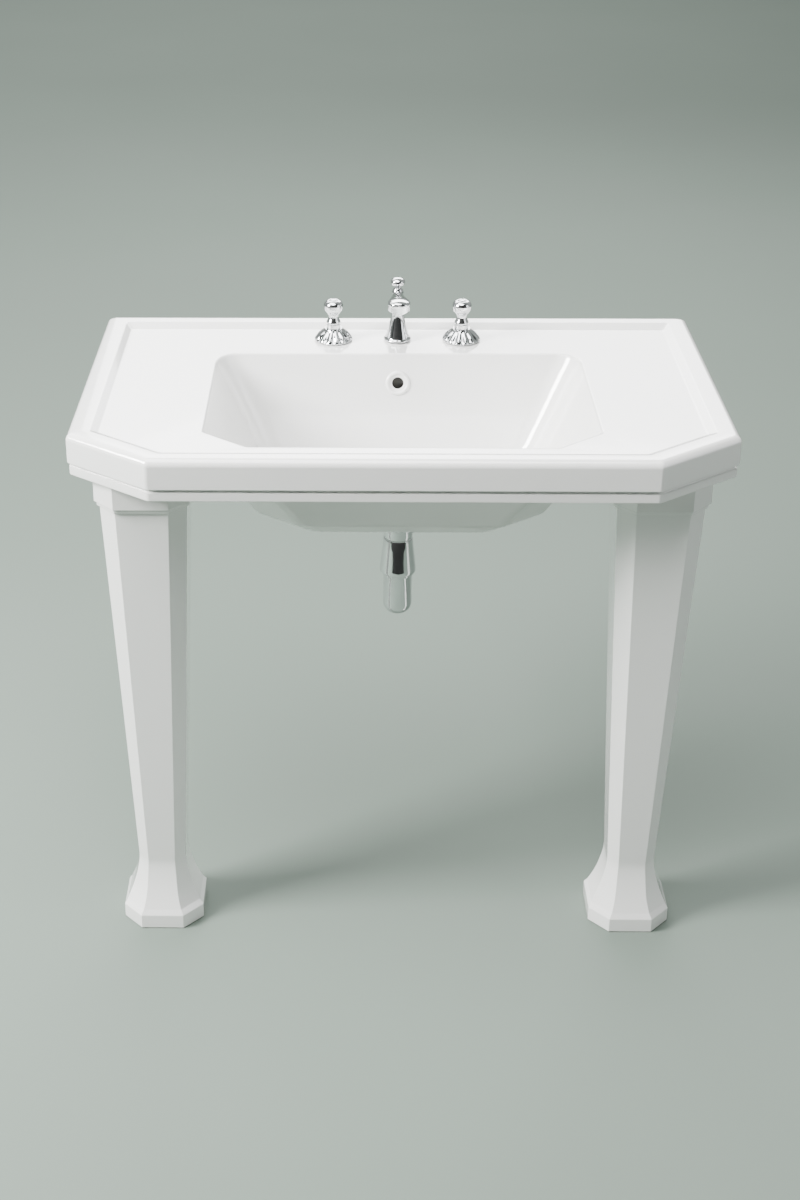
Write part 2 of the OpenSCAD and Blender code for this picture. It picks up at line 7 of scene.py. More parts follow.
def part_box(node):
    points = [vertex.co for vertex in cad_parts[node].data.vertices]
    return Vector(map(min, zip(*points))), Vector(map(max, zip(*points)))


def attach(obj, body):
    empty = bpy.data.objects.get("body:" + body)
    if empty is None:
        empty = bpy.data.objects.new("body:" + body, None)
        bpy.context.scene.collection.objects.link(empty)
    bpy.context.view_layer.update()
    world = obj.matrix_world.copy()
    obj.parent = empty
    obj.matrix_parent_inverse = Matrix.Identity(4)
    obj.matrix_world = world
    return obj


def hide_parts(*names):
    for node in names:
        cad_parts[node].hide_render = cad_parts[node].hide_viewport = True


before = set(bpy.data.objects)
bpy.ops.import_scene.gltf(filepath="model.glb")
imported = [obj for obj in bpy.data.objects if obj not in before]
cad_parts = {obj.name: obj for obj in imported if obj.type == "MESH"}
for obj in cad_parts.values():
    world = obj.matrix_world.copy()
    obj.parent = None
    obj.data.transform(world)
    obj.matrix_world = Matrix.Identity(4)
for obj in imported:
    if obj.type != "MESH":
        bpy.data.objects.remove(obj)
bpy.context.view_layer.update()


# ---- The studio --------------------------------------------------------------------
# A plain pale floor, a large soft light high on the left, a broad one overhead and a weak
# fill on the right. The camera stands in front of the basin and looks down on it.

floor_size = 26.0

bpy.ops.object.select_all(action="DESELECT")
bpy.ops.mesh.primitive_plane_add(size=floor_size, location=(0, 0, -0.0003))
floor = bpy.context.object
floor.name = "studio_floor"
floor_finish = bpy.data.materials.new("matt floor paint")
floor_finish.use_nodes = True
floor_nodes = floor_finish.node_tree.nodes
floor_shader = floor_nodes["Principled BSDF"]
floor_shader.inputs["Roughness"].default_value = 0.7
floor_shader.inputs["Specular IOR Level"].default_value = 0.2
floor_place = floor_nodes.new("ShaderNodeTexCoord")
floor_cloud = floor_nodes.new("ShaderNodeTexNoise")
floor_cloud.inputs["Scale"].default_value = 1.3
# On a colour Mix node inputs 6 and 7 are the two colours and output 2 is their blend.
floor_tone = floor_nodes.new("ShaderNodeMix")
floor_tone.data_type = "RGBA"
floor_tone.inputs[6].default_value = (0.150, 0.186, 0.160, 1)
floor_tone.inputs[7].default_value = (0.162, 0.199, 0.172, 1)
floor_finish.node_tree.links.new(floor_place.outputs["Object"], floor_cloud.inputs["Vector"])
floor_finish.node_tree.links.new(floor_cloud.outputs["Fac"], floor_tone.inputs[0])
floor_finish.node_tree.links.new(floor_tone.outputs[2], floor_shader.inputs["Base Color"])
floor.data.materials.append(floor_finish)


def soft_light(name, place, aim, width, height, power, colour):
    lamp = bpy.data.lights.new(name, "AREA")
    lamp.shape = "RECTANGLE"
    lamp.size = width
    lamp.size_y = height
    lamp.energy = power
    lamp.color = colour
    light = bpy.data.objects.new(name, lamp)
    light.location = place
    light.rotation_euler = (Vector(aim) - Vector(place)).to_track_quat("-Z", "Y").to_euler()
    bpy.context.scene.collection.objects.link(light)


soft_light("key_light", (-2.65, -0.95, 2.4), (0, 0, 0.5), 1.0, 1.2, 370, (1.0, 0.995, 0.98))
soft_light("top_light", (-0.5, -0.5, 3.4), (0, 0, 0.6), 2.6, 1.8, 165, (1.0, 1.0, 1.0))
soft_light("fill_light", (2.9, -1.0, 1.7), (0, 0, 0.6), 1.4, 2.0, 24, (0.97, 0.985, 1.0))
soft_light("back_light", (0.4, 3.4, 2.6), (0, 0.4, 0.3), 3.0, 1.6, 110, (1.0, 1.0, 1.0))
soft_light("floor_wash", (-1.5, 6.5, 5.0), (-2.0, 7.0, 0), 8.0, 5.0, 520, (1.0, 1.0, 1.0))

# A wide black flag in front, seen only in polished surfaces, gives the chrome its dark cores.
bpy.ops.object.select_all(action="DESELECT")
bpy.ops.mesh.primitive_plane_add(size=1, location=(0, -1.55, 1.22),
                                 rotation=(math.radians(90), 0, 0))
flag = bpy.context.object
flag.name = "black_flag"
flag.scale = (4.0, 2.4, 1)
bpy.ops.object.transform_apply(location=True, rotation=True, scale=True)
flag_cloth = bpy.data.materials.new("black flag cloth")
flag_cloth.use_nodes = True
flag_shader = flag_cloth.node_tree.nodes["Principled BSDF"]
flag_shader.inputs["Base Color"].default_value = (0.012, 0.012, 0.012, 1)
flag_shader.inputs["Roughness"].default_value = 0.95
flag.data.materials.append(flag_cloth)
flag.visible_camera = flag.visible_diffuse = flag.visible_shadow = False

# The air is dark behind the camera and pale behind the basin.
world = bpy.data.worlds.new("studio_air")
bpy.context.scene.world = world
world.use_nodes = True
world_nodes = world.node_tree.nodes
world_way = world_nodes.new("ShaderNodeTexCoord")
world_axes = world_nodes.new("ShaderNodeSeparateXYZ")
world_ramp = world_nodes.new("ShaderNodeValToRGB")
world_reach = world_nodes.new("ShaderNodeMapRange")
world_reach.inputs["From Min"].default_value = -1.0
world_ramp.color_ramp.elements[0].position = 0.22
world_ramp.color_ramp.elements[0].color = (0.05, 0.055, 0.053, 1)
world_ramp.color_ramp.elements[1].position = 0.62
world_ramp.color_ramp.elements[1].color = (0.47, 0.50, 0.48, 1)
world.node_tree.links.new(world_way.outputs["Generated"], world_axes.inputs[0])
world.node_tree.links.new(world_axes.outputs["Y"], world_reach.inputs["Value"])
world.node_tree.links.new(world_reach.outputs[0], world_ramp.inputs[0])
world.node_tree.links.new(world_ramp.outputs[0], world_nodes["Background"].inputs["Color"])
world_nodes["Background"].inputs["Strength"].default_value = 1.0

eye = bpy.data.cameras.new("front_camera")
eye.lens = 53.4
eye.sensor_width = 36.0
eye.shift_x = 0.0636
eye.shift_y = -0.1354
camera = bpy.data.objects.new("front_camera", eye)
look_down = math.radians(24.21)
look_left = math.radians(1.18)
camera_roll = math.radians(-0.29)
camera.matrix_world = (Matrix.Translation((-0.0625, -2.444, 1.8312))
                       @ Matrix.Rotation(look_left, 4, "Z")
                       @ Matrix.Rotation(math.radians(90) - look_down, 4, "X")
                       @ Matrix.Rotation(camera_roll, 4, "Z"))
bpy.context.scene.collection.objects.link(camera)
bpy.context.scene.camera = camera


# ---- Basin casting -----------------------------------------------------------------
# One fireclay casting, slip cast and fired with a thick white glaze: a raised border
# round a sunk deck, a bowl with cut front corners, a fascia with a shadow groove and a
# moulding, and the bowl's belly below. Screwed to the wall and set down on the legs.

basin_lo, basin_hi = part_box("basin")
rim_z = basin_hi.z
front_y = basin_lo.y
half_w = basin_hi.x
deck_z = rim_z - 0.007
belly_z = basin_lo.z
under_deck = rim_z - 0.023
glaze_white = (0.885, 0.885, 0.872, 1)
glaze_thin = (0.845, 0.838, 0.818, 1)
bare_clay = (0.62, 0.56, 0.47, 1)
edge_steps = 4
back_steps = 8


def start_piece(name):
    bpy.ops.object.select_all(action="DESELECT")
    bpy.ops.mesh.primitive_plane_add(size=1, location=(0, 0, 0))
    piece = bpy.context.object
    piece.name = name
    bpy.ops.object.mode_set(mode="EDIT")
    bpy.ops.mesh.select_all(action="SELECT")
    bpy.ops.mesh.delete(type="VERT")
    mesh = bmesh.from_edit_mesh(piece.data)
    mesh.verts.layers.int.new("ring")
    return piece


def pick(mode, wanted):
    """Selects the vertices whose place passes the test, and the edges between them."""
    bpy.ops.mesh.select_mode(type=mode)
    bpy.ops.mesh.select_all(action="DESELECT")
    mesh = bmesh.from_edit_mesh(bpy.context.object.data)
    layer = mesh.verts.layers.int.get("ring")
    for v in mesh.verts:
        v.select_set(bool(wanted(v.co, v[layer] if layer else 0)))
    mesh.select_flush_mode()
    bmesh.update_edit_mesh(bpy.context.object.data)


def number_ring(number):
    mesh = bmesh.from_edit_mesh(bpy.context.object.data)
    layer = mesh.verts.layers.int["ring"]
    for v in mesh.verts:
        if v.select:
            v[layer] = number
    bmesh.update_edit_mesh(bpy.context.object.data)


def pick_open_edges(first, second):
    bpy.ops.mesh.select_mode(type="EDGE")
    bpy.ops.mesh.select_all(action="DESELECT")
    mesh = bmesh.from_edit_mesh(bpy.context.object.data)
    layer = mesh.verts.layers.int["ring"]
    for e in mesh.edges:
        ends = {e.verts[0][layer], e.verts[1][layer]}
        e.select_set(len(e.link_faces) < 2 and ends in ({first}, {second}))
    bmesh.update_edit_mesh(bpy.context.object.data)


def bridge_rings(first, second):
    """Joins two numbered rings with a band of faces."""
    pick_open_edges(first, second)
    bpy.ops.mesh.bridge_edge_loops()


def fill_between(first, second):
    """Fills the flat band between two rings that lie in one plane."""
    pick_open_edges(first, second)
    bpy.ops.mesh.fill(use_beauty=True)


def draw_in(number, centre, radius, share, z):
    """Extrudes the last ring and draws it a share of the way to a circle."""
    pick("VERT", lambda p, ring: ring == number - 1)
    bpy.ops.mesh.extrude_edges_move(TRANSFORM_OT_translate={"value": (0, 0, 0)})
    number_ring(number)
    mesh = bmesh.from_edit_mesh(bpy.context.object.data)
    for v in mesh.verts:
        if v.select:
            way = Vector((v.co.x - centre[0], v.co.y - centre[1], 0))
            goal = way.normalized() * radius
            v.co = Vector((centre[0], centre[1], z)) + way.lerp(goal, share)
    bmesh.update_edit_mesh(bpy.context.object.data)


def close_piece(piece, angle, bevel=0.0, steps=2, bevel_angle=28, even=False):
    """Merges what touches, turns the faces outwards, rounds sharp edges and shades smooth."""
    bpy.ops.mesh.select_mode(type="VERT")
    bpy.ops.mesh.select_all(action="SELECT")
    bpy.ops.mesh.remove_doubles(threshold=0.00002)
    bpy.ops.mesh.normals_make_consistent(inside=False)
    bpy.ops.object.mode_set(mode="OBJECT")
    if bevel:
        softened = piece.modifiers.new("softened edges", "BEVEL")
        softened.width = bevel
        softened.segments = steps
        softened.limit_method = "ANGLE"
        softened.angle_limit = math.radians(bevel_angle)
        softened.miter_outer = "MITER_ARC"
        bpy.ops.object.modifier_apply(modifier="softened edges")
    bpy.ops.object.transform_apply(location=True, rotation=True, scale=True)
    bpy.ops.object.shade_smooth_by_angle(angle=math.radians(angle))
    if even:
        weights = piece.modifiers.new("flat faces stay flat", "WEIGHTED_NORMAL")
        weights.keep_sharp = True
        weights.weight = 80
        bpy.ops.object.modifier_apply(modifier="flat faces stay flat")


def outline_ring(number, z, half, front, back, cut_x, cut_y, soft_front, soft_back):
    """An outline with cut front corners, each corner softened by its own radius."""
    bpy.ops.mesh.select_mode(type="VERT")
    bpy.ops.mesh.select_all(action="DESELECT")
    bpy.ops.mesh.primitive_plane_add(size=1, location=(0, 0, 0))
    bpy.ops.transform.resize(value=(2 * half, back - front, 1), center_override=(0, 0, 0))
    bpy.ops.transform.translate(value=(0, (front + back) / 2, z))
    number_ring(number)
    for side in (-1, 1):
        pick("VERT", lambda p, ring: ring == number)
        bpy.ops.mesh.bisect(plane_co=(side * (half - cut_x), front, z),
                            plane_no=(side * cut_y, -cut_x, 0), clear_outer=True)
        pick("VERT", lambda p, ring: abs(p.z - z) < 1e-6 and ring in (0, number)
             and abs(p.x) <= half + 1e-5 and front - 1e-5 <= p.y <= back + 1e-5)
        number_ring(number)
    tall = (back - front) * 0.5
    pick("VERT", lambda p, ring: ring == number and p.y > front + tall)
    bpy.ops.mesh.bevel(offset=soft_back, segments=back_steps, affect="VERTICES")
    number_ring(number)
    pick("VERT", lambda p, ring: ring in (0, number) and abs(p.z - z) < 1e-6 and p.y < front + tall
         and abs(p.x) <= half + 1e-5)
    bpy.ops.mesh.bevel(offset=soft_front, segments=edge_steps, affect="VERTICES")
    number_ring(number)
    pick("VERT", lambda p, ring: ring == number)
    bpy.ops.mesh.delete(type="ONLY_FACE")


def part_way(first, second, share):
    return [a + (b - a) * share for a, b in zip(first, second)]


casting = start_piece("basin_casting")

# Heights below the rim and insets from the sides, the front and the wall, in millimetres.
skirt = [(23, 22, 22, 18), (60.5, 22, 22, 18), (62, 20.5, 20.5, 16.5), (62, 4.2, 4.2, 1.8),
         (61.4, 2.9, 2.9, 0.6), (60, 2.4, 2.4, 0.1), (50.6, 2.4, 2.4, 0.1), (49.4, 2.8, 2.8, 0.2),
         (49, 4.2, 4.2, 0.3), (49, 5.4, 5.4, 0.4), (48.2, 6, 6, 0.4), (44.9, 6, 6, 0.4),
         (44, 5.2, 5.2, 0.4), (44, 2.2, 2.2, 0.3), (43.6, 0.6, 0.6, 0.2), (42.6, 0, 0, 0)]
roll = 10.5
border = [(0.0, 31, 23, 20.5), (0.25, 32.4, 24.4, 21.9), (0.9, 33.8, 26, 23.2),
          (6.0, 41.4, 37.6, 35), (6.7, 42.8, 39.4, 36.6), (7.0, 44.6, 41.6, 38.6),
          (7.0, 46.0, 43.0, 40.0)]
rings = [(rim_z - h / 1000, s, f, b) for h, s, f, b in skirt]
for turn in range(0, 91, 15):
    out = roll * (1 - math.cos(math.radians(turn)))
    up = roll * math.sin(math.radians(turn))
    rings.append((rim_z - (roll - up) / 1000, out, out, out * 0.4))
rings += [(rim_z - h / 1000, s, f, b) for h, s, f, b in border]
corner_x, corner_y = 0.1195, 0.086
corner_run = math.hypot(corner_x, corner_y)
number = 0
last_z = 0
for z, side_in, front_in, back_in in rings:
    number += 1
    s, f, b = side_in / 1000, front_in / 1000, back_in / 1000
    cut_in = (s + f) / 2
    reach = (cut_in * corner_run + corner_x * corner_y)
    outline_ring(number, z, half_w - s, front_y + f, basin_hi.y - b,
                 (reach - f * corner_x) / corner_y - s, (reach - s * corner_y) / corner_x - f,
                 0.0032, 0.006)
    if number > 1:
        (fill_between if abs(z - last_z) < 1e-6 else bridge_rings)(number - 1, number)
    last_z = z

# The bowl's outline at its opening and at its foot: half width, front and back, measured
# from the basin's front edge. Its corners: cut across, cut back, and radius at the back.
bowl_opening, bowl_foot = (0.278, 0.062, 0.410), (0.198, 0.166, 0.354)
opening_corners, foot_corners = (0.065, 0.051, 0.037), (0.070, 0.045, 0.033)
# Past this share of the way in, the wall has become the floor.
turn_in = 1.2
# Share of the way in from the opening to the foot, and depth below the deck in millimetres.
bowl_wall = [(-0.030, 0.0), (-0.012, 0.3), (0.010, 1.4), (0.028, 3.6), (0.045, 6.8), (0.30, 46),
             (0.55, 86), (0.73, 114), (0.81, 127), (0.88, 137), (0.96, 145.5), (1.06, 152),
             (1.18, 156.5), (1.34, 159.2)]
deck_edge = number
bowl_edge = number + 1
for share, drop in bowl_wall:
    number += 1
    half, near, far = part_way(bowl_opening, bowl_foot, share)
    near -= max(0, share - turn_in) * 0.040
    wall_share = min(share, turn_in)
    cut_x, cut_y, soft_back = part_way(opening_corners, foot_corners, wall_share)
    outline_ring(number, deck_z - drop / 1000, half, front_y + near, front_y + far,
                 cut_x, cut_y, 0.0045 + 0.012 * max(wall_share, 0), soft_back)
    if number == bowl_edge:
        fill_between(deck_edge, bowl_edge)
    else:
        bridge_rings(number - 1, number)

drain_lo, drain_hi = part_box("waste_flange")
drain = ((drain_lo.x + drain_hi.x) / 2, (drain_lo.y + drain_hi.y) / 2)
bowl_floor_z = drain_lo.z + 0.030
# Radius, share of the way to that circle, and height of each ring round the drain.
for radius, share, z in (
        (0.120, 0.25, bowl_floor_z + 0.0036), (0.090, 0.55, bowl_floor_z + 0.0026),
        (0.062, 0.85, bowl_floor_z + 0.0016), (0.040, 1, bowl_floor_z + 0.0006),
        (0.0245, 1, bowl_floor_z), (0.0225, 1, bowl_floor_z - 0.0012),
        (0.0225, 1, belly_z + 0.001), (0.0235, 1, belly_z), (0.034, 1, belly_z)):
    number += 1
    draw_in(number, drain, radius, share, z)

# The belly, from its bottom up to the underside of the deck: how large its outline is
# beside the one at its foot, and height above its bottom in millimetres.
belly_foot, belly_top = (0.204, 0.156, 0.366), (0.294, 0.046, 0.426)
belly = [(0.84, 0), (0.89, 0.5), (0.95, 3.2), (1.0, 8.4), (1.045, 17), (1.08, 27), (1.115, 42),
         (1.30, 105), (1.485, 168)]
deck_grow, belly_height = belly[-1]
foot_edge = number
for grow, up in belly:
    number += 1
    out = max(0, (grow - 1) / (deck_grow - 1))
    shrink = min(grow, 1)
    half, near, far = part_way(belly_foot, belly_top, out)
    outline_ring(number, belly_z + up / belly_height * (under_deck - belly_z), half * shrink,
                 drain[1] + (front_y + near - drain[1]) * shrink,
                 drain[1] + (front_y + far - drain[1]) * shrink,
                 0.07 * shrink, 0.05 * shrink, 0.012, 0.040)
    if number - 1 == foot_edge:
        fill_between(foot_edge, number)
    else:
        bridge_rings(number - 1, number)
fill_between(number, 1)

# The overflow's hole is drilled in the soft clay, square to the leaning back wall.
back_lean = math.radians(19.7)
hole_place = Vector((0, front_y + 0.3945, rim_z - 0.050))
hole_radius = 0.0090
close_piece(casting, 38)
bpy.ops.object.select_all(action="DESELECT")
bpy.ops.mesh.primitive_cylinder_add(vertices=48, radius=hole_radius, depth=0.034,
                                    location=hole_place,
                                    rotation=(math.radians(90) - back_lean, 0, 0))
drill = bpy.context.object
bpy.ops.object.select_all(action="DESELECT")
casting.select_set(True)
bpy.context.view_layer.objects.active = casting
drilled = casting.modifiers.new("overflow hole", "BOOLEAN")
drilled.operation = "DIFFERENCE"
drilled.solver = "EXACT"
drilled.object = drill
bpy.ops.object.modifier_apply(modifier="overflow hole")
bpy.data.objects.remove(drill)
bpy.ops.object.mode_set(mode="EDIT")

# The solid seats over the legs and the overflow's channel down the back of the belly.
seat_x, seat_y, seat_z = 0.366, front_y + 0.116, rim_z - 0.0605
seat_wide, seat_long, seat_tall = 0.158, 0.192, 0.0382
for side in (-1, 1):
    pick("VERT", lambda p, ring: False)
    bpy.ops.mesh.primitive_plane_add(size=1, location=(0, 0, 0))
    bpy.ops.transform.resize(value=(seat_wide, seat_long, 1), center_override=(0, 0, 0))
    bpy.ops.transform.translate(value=(side * seat_x, seat_y, seat_z))
    bpy.ops.mesh.bisect(plane_co=(side * 0.345, front_y + 0.022, rim_z),
                        plane_no=(side * corner_y, -corner_x, 0), clear_outer=True)
    pick("VERT", lambda p, ring: abs(p.z - seat_z) < 1e-5 and ring == 0 and p.x * side > 0
         and abs(p.x) < seat_x + seat_wide / 2 + 0.002
         and p.y < seat_y + seat_long / 2 + 0.002)
    bpy.ops.mesh.extrude_region_move(TRANSFORM_OT_translate={"value": (0, 0, seat_tall)})
for wide, low, high, near, far in (
        (0.052, belly_z + 0.0004, rim_z - 0.032, 0.405, 0.431),
        (0.050, belly_z + 0.0006, belly_z + 0.021, 0.300, 0.430)):
    pick("VERT", lambda p, ring: False)
    bpy.ops.mesh.primitive_cube_add(size=1, location=(0, 0, 0))
    bpy.ops.transform.resize(value=(wide, far - near, high - low), center_override=(0, 0, 0))
    bpy.ops.transform.translate(value=(0, front_y + (near + far) / 2, (low + high) / 2))
close_piece(casting, 38, even=True)


def new_finish(name, colour, roughness, metallic=0.0):
    finish = bpy.data.materials.new(name)
    finish.use_nodes = True
    shader = finish.node_tree.nodes["Principled BSDF"]
    shader.inputs["Base Color"].default_value = colour
    shader.inputs["Roughness"].default_value = roughness
    shader.inputs["Metallic"].default_value = metallic
    return finish, finish.node_tree.nodes, finish.node_tree.links, shader


def add_node(nodes, kind, **values):
    node = nodes.new(kind)
    for key, value in values.items():
        setattr(node, key, value)
    return node


def set_inputs(node, **values):
    for key, value in values.items():
        node.inputs[key.replace("_", " ")].default_value = value


def start_group(name, takes, gives):
    """A shader node group with its named inputs (name, kind, value) and outputs."""
    group = bpy.data.node_groups.new(name, "ShaderNodeTree")
    for label, kind, value in takes:
        socket = group.interface.new_socket(label, in_out="INPUT", socket_type=kind)
        socket.default_value = value
    for label, kind in gives:
        group.interface.new_socket(label, in_out="OUTPUT", socket_type=kind)
    return group, group.nodes.new("NodeGroupInput"), group.nodes.new("NodeGroupOutput")


# The glaze pools and thins by a hair over the casting and its surface is never quite flat.
glaze_flow, takes, gives = start_group(
    "glaze flow",
    [("Glaze", "NodeSocketColor", glaze_white), ("Thin glaze", "NodeSocketColor", glaze_thin),
     ("Bare clay", "NodeSocketColor", bare_clay), ("Bare", "NodeSocketFloat", 0.0)],
    [("Colour", "NodeSocketColor"), ("Roughness", "NodeSocketFloat"),
     ("Glazed", "NodeSocketFloat"), ("Height", "NodeSocketFloat")])
nodes, links = glaze_flow.nodes, glaze_flow.links
place = add_node(nodes, "ShaderNodeTexCoord")
pooling = add_node(nodes, "ShaderNodeTexNoise")
set_inputs(pooling, Scale=5.0, Detail=3.0)
ripple = add_node(nodes, "ShaderNodeTexNoise")
set_inputs(ripple, Scale=42.0, Detail=2.0)
pinholes = add_node(nodes, "ShaderNodeTexNoise")
set_inputs(pinholes, Scale=900.0, Detail=1.0)
edges = add_node(nodes, "ShaderNodeNewGeometry")
edge_reach = add_node(nodes, "ShaderNodeMapRange")
set_inputs(edge_reach, From_Min=0.50, From_Max=0.62)
thin = add_node(nodes, "ShaderNodeMath", operation="MULTIPLY")
thin.inputs[1].default_value = 0.55
add_thin = add_node(nodes, "ShaderNodeMath", operation="MULTIPLY_ADD")
add_thin.inputs[1].default_value = 0.5
tone = add_node(nodes, "ShaderNodeMix", data_type="RGBA")
bare_tone = add_node(nodes, "ShaderNodeMix", data_type="RGBA")
gloss = add_node(nodes, "ShaderNodeMapRange")
set_inputs(gloss, To_Min=0.10, To_Max=0.17)
dull = add_node(nodes, "ShaderNodeMix")
dull.inputs[3].default_value = 0.85
glazed = add_node(nodes, "ShaderNodeMath", operation="SUBTRACT")
glazed.inputs[0].default_value = 1.0
relief = add_node(nodes, "ShaderNodeMath", operation="MULTIPLY_ADD")
relief.inputs[1].default_value = 0.06
for source, target in (
        (place.outputs["Object"], pooling.inputs["Vector"]),
        (place.outputs["Object"], ripple.inputs["Vector"]),
        (place.outputs["Object"], pinholes.inputs["Vector"]),
        (edges.outputs["Pointiness"], edge_reach.inputs["Value"]),
        (edge_reach.outputs[0], thin.inputs[0]), (pooling.outputs["Fac"], add_thin.inputs[0]),
        (thin.outputs[0], add_thin.inputs[2]), (add_thin.outputs[0], tone.inputs[0]),
        (takes.outputs["Glaze"], tone.inputs[6]), (takes.outputs["Thin glaze"], tone.inputs[7]),
        (takes.outputs["Bare"], bare_tone.inputs[0]), (tone.outputs[2], bare_tone.inputs[6]),
        (takes.outputs["Bare clay"], bare_tone.inputs[7]),
        (bare_tone.outputs[2], gives.inputs["Colour"]),
        (ripple.outputs["Fac"], gloss.inputs["Value"]), (gloss.outputs[0], dull.inputs[2]),
        (takes.outputs["Bare"], dull.inputs[0]), (dull.outputs[0], gives.inputs["Roughness"]),
        (takes.outputs["Bare"], glazed.inputs[1]), (glazed.outputs[0], gives.inputs["Glazed"]),
        (pinholes.outputs["Fac"], relief.inputs[0]), (ripple.outputs["Fac"], relief.inputs[2]),
        (relief.outputs[0], gives.inputs["Height"])):
    links.new(source, target)

# Glazed all over, but for the wall side of the basin and the ends of the legs.
white_glaze, nodes, links, shader = new_finish("white glaze", glaze_white, 0.14)
set_inputs(shader, IOR=1.52, Coat_Roughness=0.035, Coat_IOR=1.5)
shader.inputs["Coat Weight"].default_value = 0.6
flow = add_node(nodes, "ShaderNodeGroup", node_tree=glaze_flow)
place = add_node(nodes, "ShaderNodeTexCoord")
axes = add_node(nodes, "ShaderNodeSeparateXYZ")
bare_reach = 0.0009
wall_side = add_node(nodes, "ShaderNodeMath", operation="GREATER_THAN")
wall_side.inputs[1].default_value = basin_hi.y - bare_reach
foot_side = add_node(nodes, "ShaderNodeMath", operation="LESS_THAN")
foot_side.inputs[1].default_value = bare_reach
either = add_node(nodes, "ShaderNodeMath", operation="MAXIMUM")
swell = add_node(nodes, "ShaderNodeBump")
set_inputs(swell, Strength=0.05, Distance=0.004)
for source, target in (
        (place.outputs["Object"], axes.inputs[0]), (axes.outputs["Y"], wall_side.inputs[0]),
        (axes.outputs["Z"], foot_side.inputs[0]), (wall_side.outputs[0], either.inputs[0]),
        (foot_side.outputs[0], either.inputs[1]), (either.outputs[0], flow.inputs["Bare"]),
        (flow.outputs["Colour"], shader.inputs["Base Color"]),
        (flow.outputs["Roughness"], shader.inputs["Roughness"]),
        (flow.outputs["Glazed"], shader.inputs["Coat Weight"]),
        (flow.outputs["Height"], swell.inputs["Height"]),
        (swell.outputs[0], shader.inputs["Normal"])):
    links.new(source, target)

# Inside the overflow the bore and the channel's front face are painted near black. This is painted
# shade for the dark deep in the overflow, lightly mottled by noise.
overflow_bore_shade, nodes, links, shader = new_finish("overflow bore painted shade", (0.02, 0.02, 0.02, 1), 0.7)
place = add_node(nodes, "ShaderNodeTexCoord")
bore_shade_mottle = add_node(nodes, "ShaderNodeTexNoise")
set_inputs(bore_shade_mottle, Scale=160.0, Detail=4.0)
bore_shade_tone = add_node(nodes, "ShaderNodeMix", data_type="RGBA")
bore_shade_tone.inputs[6].default_value = (0.010, 0.010, 0.010, 1)
bore_shade_tone.inputs[7].default_value = (0.045, 0.042, 0.036, 1)
links.new(place.outputs["Object"], bore_shade_mottle.inputs["Vector"])
links.new(bore_shade_mottle.outputs["Fac"], bore_shade_tone.inputs[0])
links.new(bore_shade_tone.outputs[2], shader.inputs["Base Color"])

casting.data.materials.append(white_glaze)
casting.data.materials.append(overflow_bore_shade)
# The bore's wall and the channel's flat front face get the near-black painted shade.
bore_way = Vector((0, -math.cos(back_lean), math.sin(back_lean)))
for face in casting.data.polygons:
    off = face.center - hole_place
    in_bore = ((off - bore_way * off.dot(bore_way)).length < hole_radius * 1.02
               and off.length < 0.03 and abs(face.normal.dot(bore_way)) < 0.3)
    channel_front = face.normal.y < -0.99 and abs(face.center.y - front_y - 0.405) < 0.0005
    if in_bore or channel_front:
        face.material_index = 1
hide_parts("basin")
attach(casting, "washbasin")


# ---- Legs --------------------------------------------------------------------------
# Two hollow octagonal fireclay legs with a stepped capital, a tapering shaft and a flared
# foot on a low plinth. The basin rests on them on a rubber pad and a dowel.

leg_lo, leg_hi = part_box("leg_left")
leg_axis = Vector(((leg_lo.x + leg_hi.x) / 2, (leg_lo.y + leg_hi.y) / 2, 0))
leg_top = leg_hi.z


def octagon_ring(number, centre, half, cut, z):
    bpy.ops.mesh.select_mode(type="VERT")
    bpy.ops.mesh.select_all(action="DESELECT")
    bpy.ops.mesh.primitive_plane_add(size=2 * half, location=(centre[0], centre[1], z))
    bpy.ops.mesh.bevel(offset=cut, segments=1, affect="VERTICES")
    number_ring(number)
    bpy.ops.mesh.delete(type="ONLY_FACE")


# Height above the floor, half width and corner cut, in millimetres.
leg_shape = [(0, 57.0, 26.5), (0, 60.6, 28.5), (1.0, 61.5, 29), (22.5, 61.5, 29),
             (24.6, 61.0, 28.8), (30.5, 57.2, 27.7), (33, 56.2, 27.6), (38, 54.1, 26.8),
             (44, 51.6, 25.6), (50, 49.2, 24.4), (56, 47.0, 23.0), (62, 45.0, 21.6),
             (68, 43.2, 20.3), (74, 41.6, 19.1), (80, 40.1, 18.0), (86, 38.8, 17.0),
             (92, 37.6, 16.2), (98, 36.7, 15.6), (104, 36.1, 15.3), (112, 35.9, 15.2),
             (721, 61.5, 24), (722.2, 62.4, 24.6), (722.6, 65.2, 26.8), (728, 65.6, 27),
             (728.6, 68.2, 29.4), (730, 69, 30), (766, 69, 30), (767.6, 68, 29.4)]
leg_height = 768
leg = start_piece("leg_casting_left")
number = 0
for z, half, cut in leg_shape:
    number += 1
    octagon_ring(number, leg_axis, half / 1000, cut / 1000, z / leg_height * leg_top)
    if number > 1:
        bridge_rings(number - 1, number)
for end in (1, number):
    pick("VERT", lambda p, ring: ring == end)
    bpy.ops.mesh.edge_face_add()
close_piece(leg, 30, bevel=0.0022, steps=3, bevel_angle=35, even=True)
leg.data.materials.append(white_glaze)
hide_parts("leg_left")
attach(leg, "washbasin")
right_leg = leg.copy()
right_leg.data = leg.data.copy()
right_leg.name = "leg_casting_right"
bpy.context.scene.collection.objects.link(right_leg)
right_leg.data.transform(Matrix.Translation((-2 * leg_axis.x, 0, 0)))
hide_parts("leg_right")
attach(right_leg, "washbasin")


# ---- Pads, dowels and wall fixings --------------------------------------------------
# Rubber pads and nylon dowels between the basin and its legs, and two stainless screws
# with nylon sleeves, washers and nuts that hold the basin back against the wall.

